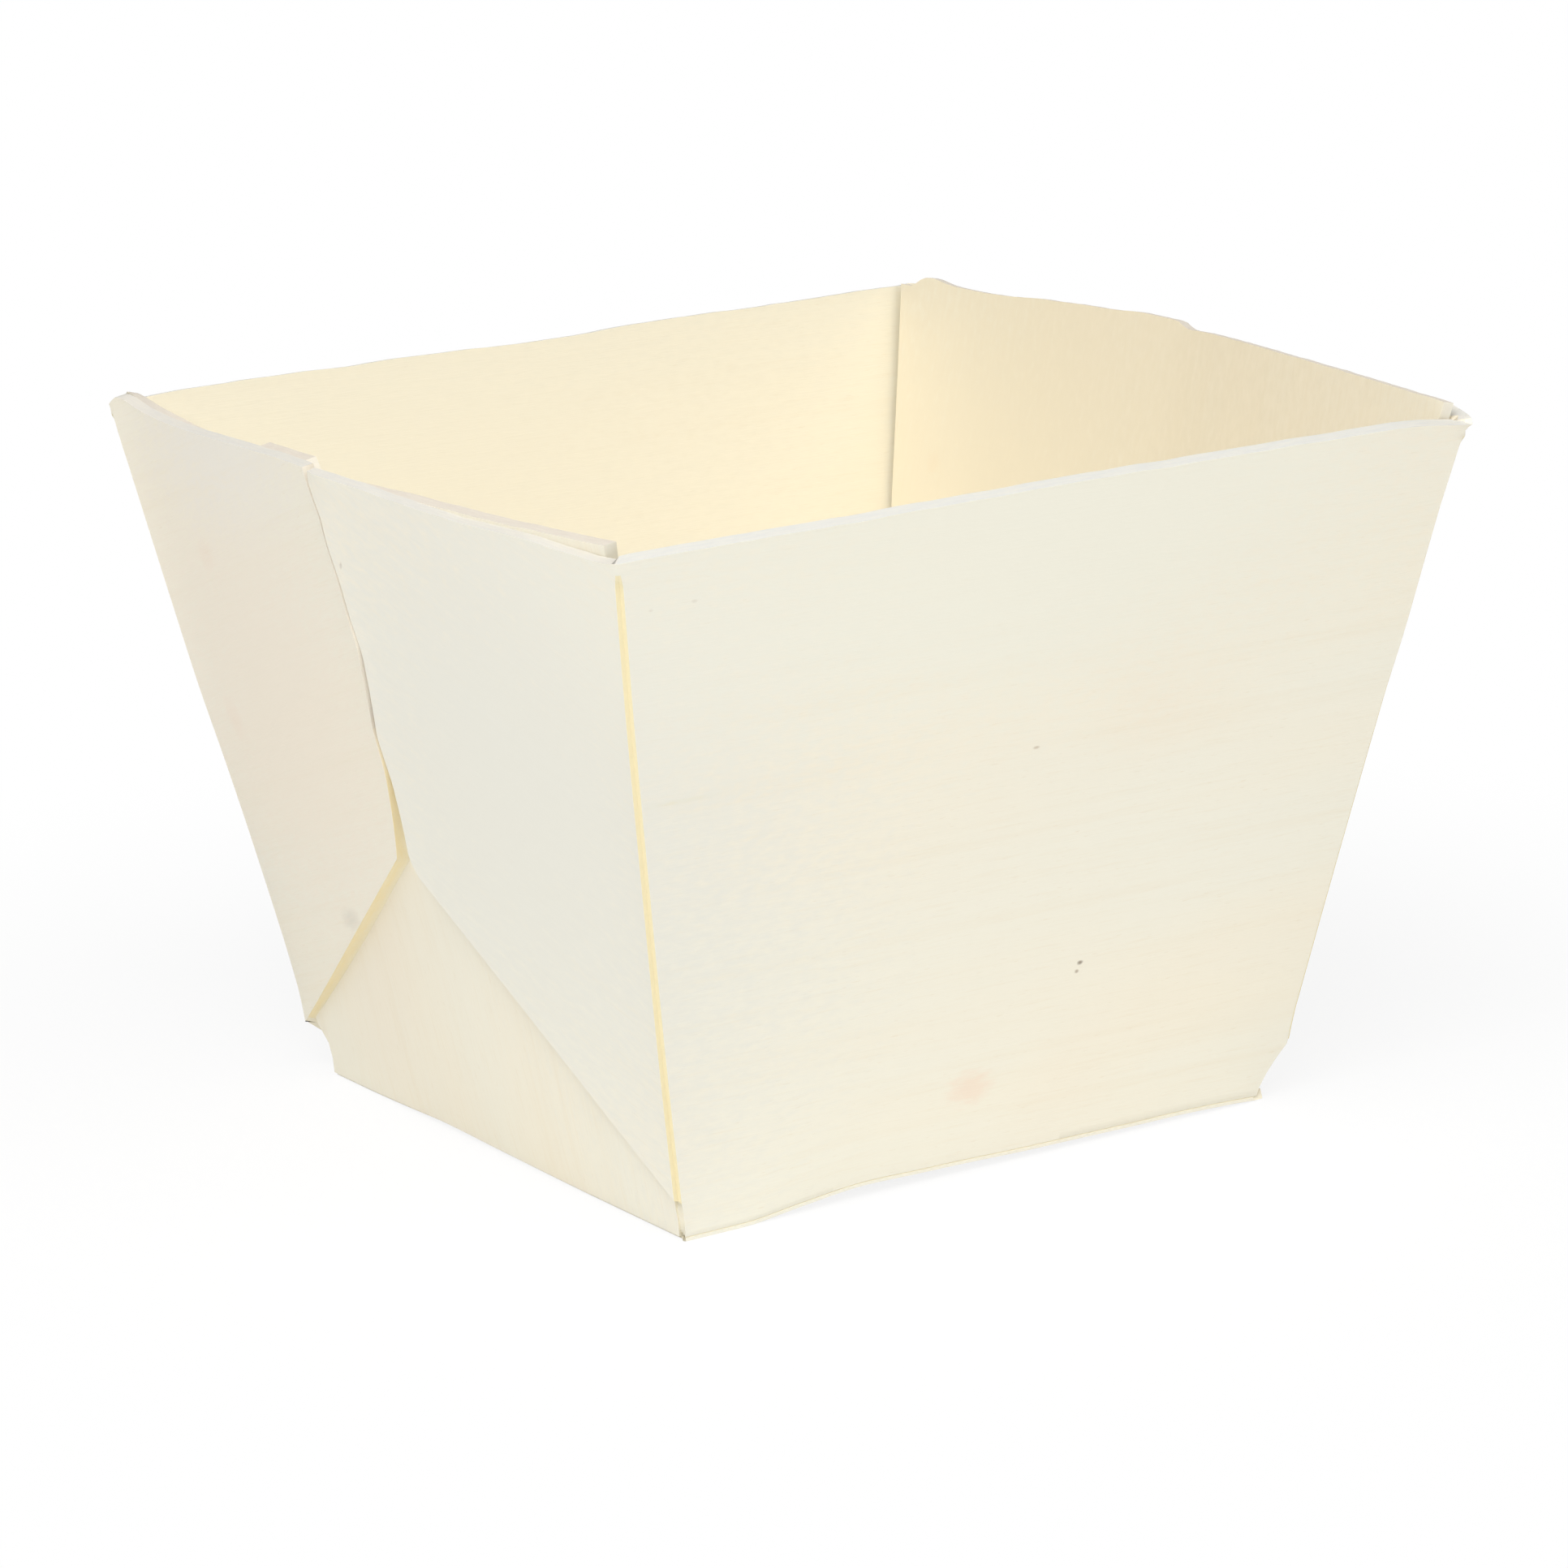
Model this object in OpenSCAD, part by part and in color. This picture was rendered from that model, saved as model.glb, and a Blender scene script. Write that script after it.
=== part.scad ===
// Snack tray folded from one sheet of peeled poplar veneer.
// The sheet has a base, two long walls, two end panels and four flaps. Each long wall
// carries a flap at both side edges, and the flaps wrap the end panels from outside.
// The origin is the middle of the base's underside, and the long walls run along X.

/* [Rim and base] */
// Length of the rim along X, from corner fold to corner fold
rim_l = 90; // [76:1:120]
// Width of the rim along Y, over the long walls
rim_w = 84; // [72:1:110]
// Length of the base between its end folds
base_l = 63; // [48:1:72]
// Width of the base between its long folds
base_w = 61; // [46:1:70]
// Height of the long walls
wall_h = 63.5; // [48:0.5:90]

/* [Sheet] */
// Thickness of the veneer
sheet_t = 1.1; // [0.8:0.1:1.6]
// Depth of the scores cut along the outside of the folds
score_d = 0.6; // [0.3:0.05:0.7]
// Length left unscored at the top of each corner fold
score_stop = 0.8; // [0.4:0.1:3]

/* [End panels] */
// Rise of the end panels above the long walls
panel_rise = 1.3; // [0.2:0.1:3]
// Half width of the rounded crown in the middle of an end panel's bow
panel_crown = 4; // [1:0.5:10]
// Clearance between an end panel's side edges and the long walls
edge_gap = 0.2; // [0.1:0.05:0.5]

/* [Flaps] */
// How far the flaps spring outward at the middle of the rim
flap_spring = 3.5; // [1:0.25:7]
// Rise of the flaps' top edge from the corner fold to the seam
flap_rise = 1.5; // [0:0.1:3]
// Height of the lower end of the seam where two flaps meet
seam_foot = 28.5; // [16:0.5:40]
// Width of the seam at the rim
seam_gap = 0.4; // [0.2:0.1:2]
// Width of the seam at its lower end
seam_spread = 1; // [0.2:0.1:4]
// Clearance between a flap and the end panel behind it, along the corner fold
lap_gap = 0.1; // [0.05:0.05:0.5]

/* [Corner relief] */
// Height of the cut-out at the foot of each corner fold
relief_h = 4.8; // [2:0.2:9]
// Distance from the base's corner to the end of a long wall's foot
relief_l = 0.6; // [0.2:0.1:3]

/* [Glue] */
// Length of the glue patch behind each flap
glue_l = 12; // [4:1:18]
// Height of the glue patch
glue_h = 6; // [2:1:12]
// Distance of the glue patch from the seam and from the rim
glue_inset = 2; // [1:0.5:4]

/* [Hidden] */

veneer_colour = "#f3ead3";
down = [0, 0, -1];

// Steps across and up the bowed end panel
panel_steps = 18;
panel_rows = 3;

// Lean of the walls, in degrees from the vertical
side_lean = atan((rim_w - base_w) / 2 / wall_h);
end_lean = atan((rim_l - base_l) / 2 / wall_h);

// A flap lies outside the end panel, so the long walls are longer than the base by its lap
flap_x = sheet_t / cos(end_lean);
lap = flap_x + lap_gap;
foot_l = base_l + 2 * lap;

// Sideways travel of a flap's outer face for each millimetre away from its fold
spring_slope = flap_spring / (rim_w / 2);

// Half width of the end panel at a height, between the long walls
wall_y = sheet_t / cos(side_lean);
panel_top = wall_h + panel_rise;
function panel_half(z) = fold_at(z).y - wall_y - edge_gap;

// Share of the sheet's thickness that the glue patch sinks into the end panel
glue_bite = 0.3;

// Outward normals of a long wall at +Y and of an end panel at +X
wall_out = [0, cos(side_lean), -sin(side_lean)];
end_out = [cos(end_lean), 0, -sin(end_lean)];

// A flap's plate starts this far from the corner fold, inside the long wall's edge
tuck = score_d / 2;

function unit(v) = v / norm(v);

// Corner fold of the quarter at +X and +Y, on the sheet's outer face
function fold_at(z) = [
    (foot_l + (rim_l - foot_l) * z / wall_h) / 2,
    (base_w + (rim_w - base_w) * z / wall_h) / 2,
    z
];

// Outer face of the flap at +X and +Y, at a distance y from the middle
function flap_at(y, z) = [fold_at(z).x + spring_slope * (fold_at(z).y - y), y, z];

// Outer face of the end panel at +X: straight lines from the base fold to a softly bowed rim.
// The share u runs from one side edge to the other, and v from the base to the rim.
function panel_foot(u) = [base_l / 2, u * panel_half(0), 0];
function panel_head(u) =
    let (y = u * panel_half(panel_top))
    [flap_at(sqrt(y * y + panel_crown * panel_crown), panel_top).x - lap, y, panel_top];
function panel_at(u, v) = panel_foot(u) * (1 - v) + panel_head(u) * v;

// Distance from the flap's inner face to the end panel, in the middle at a height
function lap_at(z) = flap_at(0, z).x - flap_x - panel_at(0, z / panel_top).x;
glue_foot = wall_h - glue_inset - glue_h;
glue_t = lap_at(glue_foot) + glue_bite * sheet_t;

// Draws its children and their mirror image in the plane through the middle
module both(axis) {
    children();
    mirror(axis) children();
}

// One flat panel of the sheet: corners on its outer face, and a layer of its depth.
// The layer starts at a depth below that face, and runs towards the inside of the tray.
module panel(corners, depth = 0, thick = sheet_t) {
    start = corners[0];
    along = unit(corners[1] - start);
    normal = unit(cross(along, corners[2] - start));
    inward = normal * sign(([0, 0, wall_h] - start) * normal);
    across = cross(inward, along);
    multmatrix([
        [along.x, across.x, inward.x, start.x],
        [along.y, across.y, inward.y, start.y],
        [along.z, across.z, inward.z, start.z]
    ])
    translate([0, 0, depth])
    linear_extrude(thick)
    polygon([for (p = corners) [(p - start) * along, (p - start) * across]]);
}

// Score along the outside of a fold, opened to a V as the sheet was folded.
// Its two faces stand square to the panels, whose outward normals are given.
module score(from, to, normal_a, normal_b) {
    out = unit(normal_a + normal_b);
    spread = acos(out * normal_a);
    root = score_d / cos(spread);
    reach = 3 * score_d;
    along = unit(to - from);
    across = cross(along, out);
    multmatrix([
        [out.x, across.x, along.x, from.x],
        [out.y, across.y, along.y, from.y],
        [out.z, across.z, along.z, from.z]
    ])
    linear_extrude(norm(to - from))
    polygon([
        [-root, 0],
        [-root + reach * cos(spread), reach * sin(spread)],
        [-root + reach * cos(spread), -reach * sin(spread)]
    ]);
}

module base() {
    translate([-base_l / 2, -base_w / 2, 0])
    cube([base_l, base_w, sheet_t]);
}

// Long wall at +Y, with its lower corners cut away
module long_wall() {
    foot = [base_l / 2 - relief_l, base_w / 2, 0];
    right = [foot, fold_at(relief_h), fold_at(wall_h)];
    left = [for (i = [2:-1:0]) [-right[i].x, right[i].y, right[i].z]];
    panel(concat(right, left));
}

// Flap at +X and +Y, with the diagonal edge that runs from the seam to the corner fold
module flap() {
    panel([
        flap_at(fold_at(relief_h).y - tuck, relief_h),
        flap_at(fold_at(wall_h).y - tuck, wall_h),
        flap_at(seam_gap / 2, wall_h + flap_rise),
        flap_at(seam_spread / 2, seam_foot)
    ]);
}

// Glue between that flap and the end panel behind it
module glue_patch() {
    near = seam_gap / 2 + glue_inset;
    far = near + glue_l;
    head = glue_foot + glue_h;
    corners = [flap_at(near, glue_foot), flap_at(far, glue_foot), flap_at(far, head), flap_at(near, head)];
    panel(corners, sheet_t / 2, sheet_t / 2 + glue_t);
}

// Bowed end panel at +X, lofted between its straight foot and its rim
module end_panel() {
    row = panel_steps + 1;
    layer = row * (panel_rows + 1);
    outer = [
        for (j = [0:panel_rows], i = [0:panel_steps])
        panel_at(2 * i / panel_steps - 1, j / panel_rows)
    ];
    inner = [for (p = outer) p - [flap_x, 0, 0]];
    skin = [
        for (j = [0:panel_rows - 1], i = [0:panel_steps - 1])
        let (a = j * row + i)
        each [[a, a + row, a + row + 1], [a, a + row + 1, a + 1]]
    ];
    lining = [for (f = skin) [f[2] + layer, f[1] + layer, f[0] + layer]];
    rim = concat(
        [for (i = [0:panel_steps]) i],
        [for (j = [1:panel_rows]) j * row + panel_steps],
        [for (i = [panel_steps - 1:-1:0]) panel_rows * row + i],
        [for (j = [panel_rows - 1:-1:1]) j * row]
    );
    edge = [
        for (k = [0:len(rim) - 1])
        let (a = rim[k], b = rim[(k + 1) % len(rim)])
        each [[a, b, b + layer], [a, b + layer, a + layer]]
    ];
    polyhedron(concat(outer, inner), concat(skin, lining, edge), convexity = 4);
}

// Scores along the outside of all folds. Those of the base folds keep clear of each other.
module scores() {
    side_reach = base_l / 2 + score_d;
    end_reach = panel_half(0) + edge_gap;
    both([0, 1, 0])
    score([-side_reach, base_w / 2, 0], [side_reach, base_w / 2, 0], down, wall_out);
    both([1, 0, 0])
    score([base_l / 2, -end_reach, 0], [base_l / 2, end_reach, 0], down, end_out);
    flap_out = unit(cross(flap_at(0, wall_h) - fold_at(wall_h), fold_at(0) - fold_at(wall_h)));
    both([1, 0, 0]) both([0, 1, 0])
    score(fold_at(relief_h / 2), fold_at(wall_h - score_stop), wall_out, flap_out);
}

module tray() {
    color(veneer_colour)
    difference() {
        union() {
            base();
            both([0, 1, 0]) long_wall();
            both([1, 0, 0]) end_panel();
            both([1, 0, 0]) both([0, 1, 0]) flap();
            both([1, 0, 0]) both([0, 1, 0]) glue_patch();
        }
        scores();
    }
}

tray();
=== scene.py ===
"""Looks of a snack tray folded from one sheet of peeled poplar veneer.

The tray is one closed mesh: the outer skin of the folded sheet, its inner skin and its cut edges.
Lengths are in millimetres until the mesh is made, and the sizes repeat those of the CAD source.
The sign sx is -1 at the end and sy is -1 at the long wall that face the camera. The four corners are
pairs of these signs, named as the photograph shows them.
"""
from math import atan, cos, pi, radians, sin, tan
from typing import NamedTuple

import bmesh
import bpy
from mathutils import Matrix, Vector
from mathutils.noise import noise, noise_vector, seed_set

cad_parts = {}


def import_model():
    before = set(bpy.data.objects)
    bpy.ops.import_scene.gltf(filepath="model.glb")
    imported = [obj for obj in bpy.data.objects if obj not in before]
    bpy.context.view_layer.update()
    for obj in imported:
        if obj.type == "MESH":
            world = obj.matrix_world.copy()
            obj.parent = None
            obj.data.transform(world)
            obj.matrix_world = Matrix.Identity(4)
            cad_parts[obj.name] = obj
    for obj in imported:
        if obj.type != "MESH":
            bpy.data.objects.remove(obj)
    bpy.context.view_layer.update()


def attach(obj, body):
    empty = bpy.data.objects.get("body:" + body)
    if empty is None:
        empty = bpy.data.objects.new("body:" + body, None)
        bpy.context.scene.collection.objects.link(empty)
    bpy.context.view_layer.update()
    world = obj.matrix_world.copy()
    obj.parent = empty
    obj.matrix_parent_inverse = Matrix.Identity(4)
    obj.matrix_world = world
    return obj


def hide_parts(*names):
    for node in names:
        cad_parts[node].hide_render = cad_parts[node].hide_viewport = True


MM = 0.001
NEAR, RIGHT, FAR, LEFT = (-1, -1), (1, -1), (1, 1), (-1, 1)
# Index of a row's outermost point on the side of a sign
OUTERMOST = {-1: 0, 1: -1}


def mirrored(p, sx, sy):
    return Vector((sx * p.x, sy * p.y, p.z))


def evenly(low, high, steps):
    return [low + (high - low) * k / steps for k in range(steps + 1)]


def smooth(low, high, x):
    t = min(max((x - low) / (high - low), 0.0), 1.0)
    return t * t * (3 - 2 * t)


def plateau(x, low, high, edge):
    """1 between low and high, falling to 0 over the edge at both sides."""
    return smooth(low - edge, low, x) * (1 - smooth(high, high + edge, x))


def along_path(path, x):
    """Value at x of a path of (x, value) pairs."""
    for (x0, v0), (x1, v1) in zip(path, path[1:]):
        if x <= x1:
            return v0 + (v1 - v0) * (x - x0) / (x1 - x0)
    return path[-1][1]


def path_slope(path, k):
    (x0, v0), (x1, v1) = path[max(k - 1, 0)], path[min(k + 1, len(path) - 1)]
    return (v1 - v0) / (x1 - x0)


def along_curve(path, x):
    """Value at x of a smooth curve through (x, value) pairs."""
    x = min(max(x, path[0][0]), path[-1][0])
    k = next(k for k in range(len(path) - 1) if x <= path[k + 1][0])
    (x0, v0), (x1, v1) = path[k], path[k + 1]
    t = (x - x0) / (x1 - x0)
    rise = v1 - v0
    start, end = (path_slope(path, j) * (x1 - x0) for j in (k, k + 1))
    return v0 + t * start + t * t * (3 * rise - 2 * start - end) + t ** 3 * (start + end - 2 * rise)


# Sizes of the CAD source
RIM_L = 90.0
RIM_W = 84.0
BASE_L = 63.0
BASE_W = 61.0
WALL_H = 63.5
SHEET_T = 1.1
PANEL_RISE = 1.3
PANEL_CROWN = 4.0
EDGE_GAP = 0.2
FLAP_SPRING = 3.5
FLAP_RISE = 1.5
SEAM_FOOT = 28.5
LAP_GAP = 0.1
RELIEF_H = 4.8

SIDE_LEAN = atan((RIM_W - BASE_W) / 2 / WALL_H)
END_LEAN = atan((RIM_L - BASE_L) / 2 / WALL_H)
FLAP_X = SHEET_T / cos(END_LEAN)
LAP = FLAP_X + LAP_GAP
FOOT_L = BASE_L + 2 * LAP
SPRING_SLOPE = FLAP_SPRING / (RIM_W / 2)
WALL_Y = SHEET_T / cos(SIDE_LEAN)
PANEL_TOP = WALL_H + PANEL_RISE

# Mesh steps along the long walls, across the end panels and across the flaps
WALL_STEPS = 54
PANEL_STEPS = 116
FLAP_STEPS = 30
# The flaps' steps crowd at the corner fold by this power, and stop this many strip widths before the seam
FLAP_CROWDING = 1.2
STRIP_CLEAR = 1.5
# Heights of the rows: of the long walls below the corner folds, of the corner folds and of the end panels
CHAMFER_ROWS = (1.2, 2.4, 3.6)
FOLD_ROWS = evenly(RELIEF_H, 61.0, 36) + [61.5, 62.0, 62.5, 63.0, 63.25, WALL_H]
PANEL_ROWS = evenly(1.7, 63.0, 40) + [63.6, 64.2, PANEL_TOP]
# Half lengths along X of the flat part of the base, on its outer and on its inner face
BASE_HALF = 30.4
BASE_LINING_HALF = 29.5
# Step of the shares u and v that an end panel's normal is measured over
NORMAL_STEP = 0.004

# The corner scores run out between these heights, and the sheet is bent round above them
SCORE_FULL = 61.5
SCORE_GONE = 62.5
BEND_CUT = 0.3
BEND_DEPTH = 0.04
# Folding has pinched the corner scores, and pressed those round the base shallow
PINCHED_CUT = 0.46
PINCHED_SCORE_D = 0.42
PRESSED_SCORE_D = 0.32
PRESSED_LOOK = 0.3
# Section of a pressed long fold, as distance outside the fold line and height: the base's lip and the
# score's root. The wall begins at the last height.
LONG_LIP = ((0.02, 0.0), (0.05, 0.3))
LONG_ROOT = (-0.02, 0.37)
LONG_RISE = 0.46

# Hand-made irregularities read from the photograph, from here to the warp of the sheet

# Each corner of the rim: how far it lies higher, and how far it flares along X over the last of its height
CORNER_LIFT = {NEAR: 0.0, RIGHT: -0.5, FAR: 0.35, LEFT: 0.0}
CORNER_FLARE = {NEAR: 0.0, RIGHT: 0.9, FAR: 0.0, LEFT: 0.2}
FLARE_REACH = 0.45
# Bow of each corner fold along X, by height, and the power by which it fades across the flap
CORNER_BOW = {
    NEAR: ((4.8, 0.0), (20, 0.25), (34, 0.3), (48, 0.27), (57, 0.12), (63.5, 0.0)),
    RIGHT: (
        (4.8, 0.3), (8, 0.0), (38, -0.06), (44, 0.22), (55, 0.22), (60, 0.4), (62.5, 0.4), (63.5, 0.0),
    ),
    FAR: ((4.8, 0.0), (63.5, 0.0)),
    LEFT: (
        (4.8, 0.05), (8, -0.28), (22, -0.22), (30, 0.0), (37, 0.33), (45, 0.45), (57, 0.55), (61, 0.6),
        (63, 0.4), (63.5, 0.2),
    ),
}
BOW_FADE = 12
# Half lengths along X at each corner: of the long wall's foot, of the base's lip and of the crease inside
FOOT_HALF = {NEAR: 32.3, RIGHT: 30.7, FAR: 31.0, LEFT: 29.3}
LIP_HALF = {NEAR: 32.2, RIGHT: 30.4, FAR: 30.4, LEFT: 30.4}
CREASE_HALF = {NEAR: 31.9, RIGHT: 30.1, FAR: 30.1, LEFT: 30.1}
# Height of each relief cut, and the power of the hollow curve in which it runs along the long wall
RELIEF = {NEAR: 3.7, RIGHT: 5.2, FAR: 5.0, LEFT: 4.5}
CHAMFER_HOLLOW = 1.5
# Tip of the base's corner on its outer face, and the way from there to the tip on its inner face
BASE_TIP = {NEAR: (32.35, 30.3), RIGHT: (31.5, 30.45), FAR: (31.5, 30.45), LEFT: (31.2, 29.3)}
TIP_INWARD = Vector((-0.15, -0.15, 0.95))

# How far an end panel's side edge stands back from the long wall at the rim, is cut on a slant and curls in.
# The curl starts at this share of the way from the middle.
EDGE_INSET = {NEAR: 1.8, RIGHT: 0.0, FAR: 0.55, LEFT: 0.0}
EDGE_SLANT = {NEAR: 0.3, RIGHT: 0.0, FAR: 0.0, LEFT: 0.0}
EDGE_CURL = {NEAR: 0.0, RIGHT: 0.0, FAR: 0.5, LEFT: 0.0}
CURL_FROM = 0.72
# How far that edge stands back near its foot, by height
FOOT_INSET = {
    NEAR: ((0, -0.5), (2.0, -0.5), (4.6, 0)),
    RIGHT: ((0, 0), (1, 0)),
    FAR: ((0, 0), (1, 0)),
    LEFT: ((0, 1.1), (0.6, 1.1), (1.8, 1.62), (3.2, 1.65), (4.6, 0.55), (6.0, 0)),
}
# Swelling of the end panels at their foot, up to a share of their height, and in their middle
FOOT_SWELL = {-1: 0.8, 1: 0.0}
SWELL_TO = 0.35
PANEL_BULGE = {-1: 1.45, 1: 0.9}
# How far the end panels are pressed against the flaps near the rim, and the shares of their height over
# which this grows
CLOSED_LAP = 0.2
CLOSED_SPAN = (0.5, 0.95)

# Top edge of each flap above a straight line, by the share of the way from the fold to the seam
FLAP_RIM = {
    NEAR: ((0, 0.0), (0.06, -0.35), (0.3, -0.4), (0.5, -0.72), (0.7, -0.7), (0.88, -0.55), (1, -0.62)),
    RIGHT: (
        (0, 0.2), (0.01, 0.6), (0.033, 0.92), (0.067, 1.2), (0.1, 1.35), (0.14, 1.3), (0.3, 0.6), (1, -0.2),
    ),
    FAR: ((0, 0.0), (0.04, 0.2), (0.1, 0.25), (0.5, 0.2), (1, 0.2)),
    LEFT: (
        (0, 0.0), (0.02, 0.45), (0.045, 0.85), (0.07, 0.9), (0.1, 0.65), (0.14, 0.25), (0.2, -0.12),
        (0.4, -0.48), (0.6, -0.42), (0.9, -0.3), (1, -0.38),
    ),
}
# Seam edge of each flap: its y by the share of the way up, and how far its foot lies higher
SEAM_EDGE = {
    NEAR: (
        (0.0, -2.4), (0.04, -1.5), (0.12, -1.7), (0.23, -1.65), (0.34, -0.95), (0.45, -1.38), (0.55, -1.6),
        (0.64, -0.93), (0.72, -0.63), (0.81, 0.05), (0.87, 0.15), (0.93, 0.85), (0.97, 1.2), (1.0, 1.15),
    ),
    RIGHT: ((0.0, -0.9), (0.3, -0.3), (1.0, -0.2)),
    FAR: ((0.0, 0.6), (0.3, 0.1), (0.9, 0.6), (0.97, 1.2), (1.0, 2.6)),
    LEFT: (
        (0.0, 0.6), (0.04, 0.1), (0.12, -0.6), (0.23, -1.2), (0.34, -0.73), (0.45, -1.17), (0.55, -1.39),
        (0.64, -0.72), (0.72, -0.4), (0.81, 0.31), (0.87, 0.45), (0.93, 1.25), (0.97, 1.65), (1.0, 1.85),
    ),
}
SEAM_LIFT = {NEAR: -1.0, RIGHT: -0.3, FAR: 0.2, LEFT: 0.1}
# Width of the strip along the seam that is worn or curled, and how far its edge has sunk, by the share of
# the way up. It stands proud where the number is negative.
SEAM_STRIP = {NEAR: 1.4, RIGHT: 0.45, FAR: 0.45, LEFT: 1.2}
SEAM_SUNK = {
    NEAR: ((0, 0.0), (0.2, -0.03), (0.34, -0.06), (0.85, -0.06), (0.95, 0.15), (1, 0.25)),
    RIGHT: ((0, 0.1), (1, 0.1)),
    FAR: ((0, 0.1), (1, 0.1)),
    LEFT: ((0, 0.0), (0.25, -0.03), (0.4, -0.06), (0.9, -0.06), (1, 0.0)),
}
# The rims of the flaps slope inward over a span near their corner fold: its start, its end and its soft edge
FLAP_SLANT = {NEAR: 0.0, RIGHT: 0.9, FAR: 0.0, LEFT: 0.0}
FLAP_SLANT_SPAN = (0.06, 0.08, 0.06)
FLAP_SLANT_REACH = 2.5
# The diagonal edge of a flap was cut on a slant: how far its inner face is longer, and reaches towards the
# end panel. The reach grows along the edge, this many times as fast as the edge runs.
DIAGONAL_SLANT = {NEAR: 0.0, RIGHT: 0.0, FAR: 0.0, LEFT: 0.6}
DIAGONAL_REACH = {NEAR: 0.0, RIGHT: 0.0, FAR: 0.0, LEFT: 0.7}
DIAGONAL_GROWTH = 4

# Waves of the rims above a straight line: of the long walls by x, of the end panels by y
WALL_RIM = {
    -1: (
        (-44, 0.0), (-38, 0.13), (-20, 0.25), (0, 0.48), (20, 0.64), (36, 0.74), (40, 0.6), (43, 0.25),
        (44.6, 0.0),
    ),
    1: (
        (-44, 0.0), (-40, 0.26), (-30, 0.34), (-20, 0.2), (-12, 0.22), (-5, 0.04), (3, -0.09), (12, 0.13),
        (30, 0.03), (40, 0.1), (44, 0.0),
    ),
}
PANEL_RIM = {
    -1: (
        (-39.3, -0.4), (-32, -0.62), (-24, -0.8), (-14, -0.82), (-6, -0.98), (3, -1.25), (10, -1.5),
        (18, -1.72), (25, -1.7), (30, -1.42), (34, -1.0), (37, -0.5), (39, -0.1), (40.1, 0.02),
        (40.6, -0.1), (41, -0.5),
    ),
    1: (
        (-41, 0.15), (-30, 0.35), (-10, 0.52), (-3, 0.5), (-0.7, 0.44), (1.3, 1.0), (10, 0.85), (20, 0.5),
        (29, 0.03), (32, 0.1), (34, 0.25), (35.5, 0.5), (36.4, 0.55), (37.2, 0.4), (38, 0.0), (38.7, -0.5),
    ),
}
# The waves fade out this far below the rims
WALL_RIM_REACH = 9.0
PANEL_RIM_REACH = 5.0
# A tab on the rim of the end panel at -X: where it starts and ends, its soft edge and its height
RIM_TAB = (3.3, 12.95, 0.4)
RIM_TAB_H = 1.22
# Slants of the rims: how far their inner edge stands above a square cut, and how far down that reaches
WALL_SLANT = {-1: 0.2, 1: 0.0}
WALL_SLANT_REACH = 2.0
PANEL_SLANT = {
    -1: ((-40, 0.0), (30, 0.0), (36, -0.3), (41, -0.55)),
    1: ((-41, 0.0), (41, 0.0)),
}
PANEL_SLANT_REACH = 2.0
# Fibres and nicks along the rims, as height and rate, and the seeds of each rim
RIM_FIBRES = (0.09, 0.22)
RIM_NICKS = (0.05, 0.9)
NICK_SEED = 7.0
WALL_GRIT = {-1: -3.0, 1: 3.0}
PANEL_GRIT = {-1: 11.0, 1: 17.0}
FLAP_GRIT = {NEAR: 20.0, RIGHT: 22.0, FAR: 26.0, LEFT: 24.0}

# Height of the sprung edges of the base, of the long ones by x and of the short ones by y
FRONT_ARCH = (
    (-30.5, 0.0), (-25.5, 0.02), (-20, 0.6), (-14, 1.1), (-8, 1.0), (-2, 0.87), (4, 0.68), (10, 0.6),
    (16, 0.5), (22, 0.46), (28, 0.26), (30.5, 0.1),
)
BACK_ARCH = ((-30.5, 0.0), (0, 0.6), (30.5, 0.0))
LEFT_ARCH = ((-30.5, 0.0), (-15, 0.0), (0, 0.15), (9, 0.28), (16, 0.1), (22, 0.0), (30.5, 0.0))
RIGHT_ARCH = ((-30.5, 0.0), (0, 0.5), (30.5, 0.0))
# The walls follow the sprung base up to this height
LIFT_TO = 22
# Warp of the whole sheet: its seed, its size, its rate and the height where it is full
WARP_SEED = 5
WARP = 0.16
WARP_RATE = 0.028
WARP_FULL = 12


def fold_at(z):
    """Corner fold of the quarter at +X and +Y, on the sheet's outer face."""
    share = z / WALL_H
    return Vector(((FOOT_L + (RIM_L - FOOT_L) * share) / 2, (BASE_W + (RIM_W - BASE_W) * share) / 2, z))


def flap_at(y, z):
    """Outer face of the flap at +X and +Y."""
    f = fold_at(z)
    return Vector((f.x + SPRING_SLOPE * (f.y - y), y, z))


def panel_half(z):
    return fold_at(z).y - WALL_Y - EDGE_GAP


def panel_at(u, v):
    """Outer face of the end panel at +X: u runs across it from -1 to 1, and v from its foot to its rim."""
    y = u * panel_half(PANEL_TOP)
    crown = (y * y + PANEL_CROWN ** 2) ** 0.5
    foot = Vector((BASE_L / 2, u * panel_half(0), 0))
    head = Vector((flap_at(crown, PANEL_TOP).x - LAP, y, PANEL_TOP))
    return foot.lerp(head, v)


# Directions in the quarter at +X and +Y: outward from the panels, up the corner fold and across the flap
DOWN = Vector((0, 0, -1))
WALL_OUT = Vector((0, cos(SIDE_LEAN), -sin(SIDE_LEAN)))
END_OUT = Vector((cos(END_LEAN), 0, -sin(END_LEAN)))
FOLD_UP = (fold_at(WALL_H) - fold_at(0)).normalized()
FLAP_OUT = FOLD_UP.cross(flap_at(0, WALL_H) - fold_at(WALL_H)).normalized()
FLAP_ACROSS = FLAP_OUT.cross(FOLD_UP).normalized()


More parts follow.
